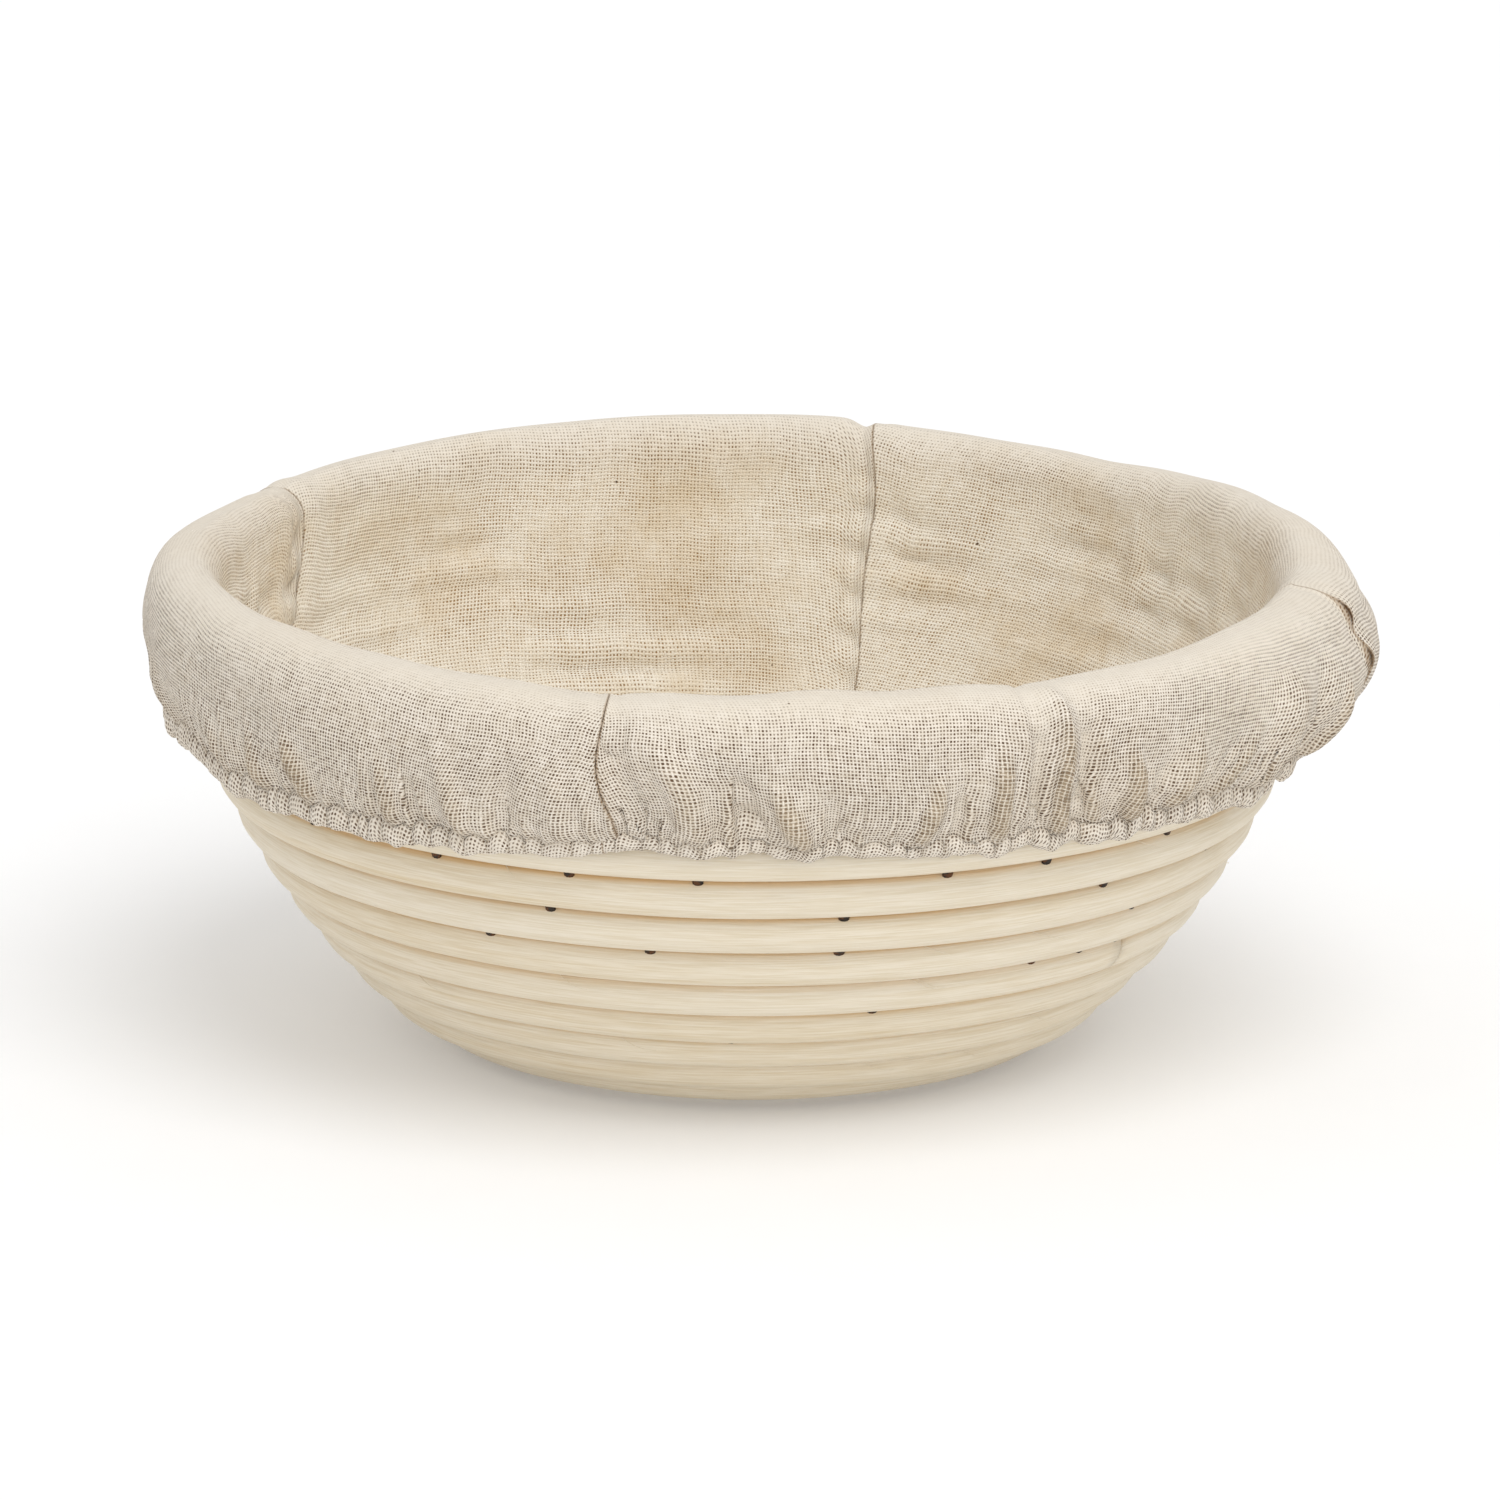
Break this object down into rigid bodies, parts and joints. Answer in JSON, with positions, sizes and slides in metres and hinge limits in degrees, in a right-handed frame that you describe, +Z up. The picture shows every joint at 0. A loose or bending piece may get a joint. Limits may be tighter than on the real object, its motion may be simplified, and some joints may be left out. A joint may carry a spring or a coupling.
{
  "type": "banneton basket",
  "caption": "Round proofing bowl coiled from cane, with a gathered cloth liner that folds over the rim and lifts off.",
  "frame": {"origin": "on the table, under the middle of the bowl", "axes": "+Z up, -Y towards the front"},
  "size_m": [0.2254, 0.2254, 0.0904],
  "materials": {
    "cane": "peeled cane, bare and satin, with fine lengthwise grain",
    "slat": "sawn wood, bare",
    "brad": "dark steel wire, slightly rusted",
    "cloth": "unbleached open plain-weave linen",
    "thread": "twisted cotton thread",
    "elastic": "covered elastic cord"
  },
  "bodies": {
    "basket": {"floor_cane": "cane", "wall_cane_lower": "cane", "wall_cane_middle": "cane", "wall_cane_upper": "cane", "rim_cane": "cane", "floor_brads": "brad", "wall_brads": "brad", "rim_brads": "brad", "slat_long": "slat", "slat_left": "slat", "slat_right": "slat", "slat_nails": "brad"},
    "liner": {"gore_right_back": "cloth", "gore_left_back": "cloth", "gore_left_front": "cloth", "gore_right_front": "cloth", "seam_thread_right": "thread", "seam_thread_back": "thread", "seam_thread_left": "thread", "seam_thread_front": "thread", "hem_elastic": "elastic", "hem_thread": "thread"}
  },
  "joints": [
    {"name": "liner_lift", "type": "slide", "parent": "basket", "child": "liner", "axis": [0, 0, 1], "range_m": [0, 0.1]}
  ]
}
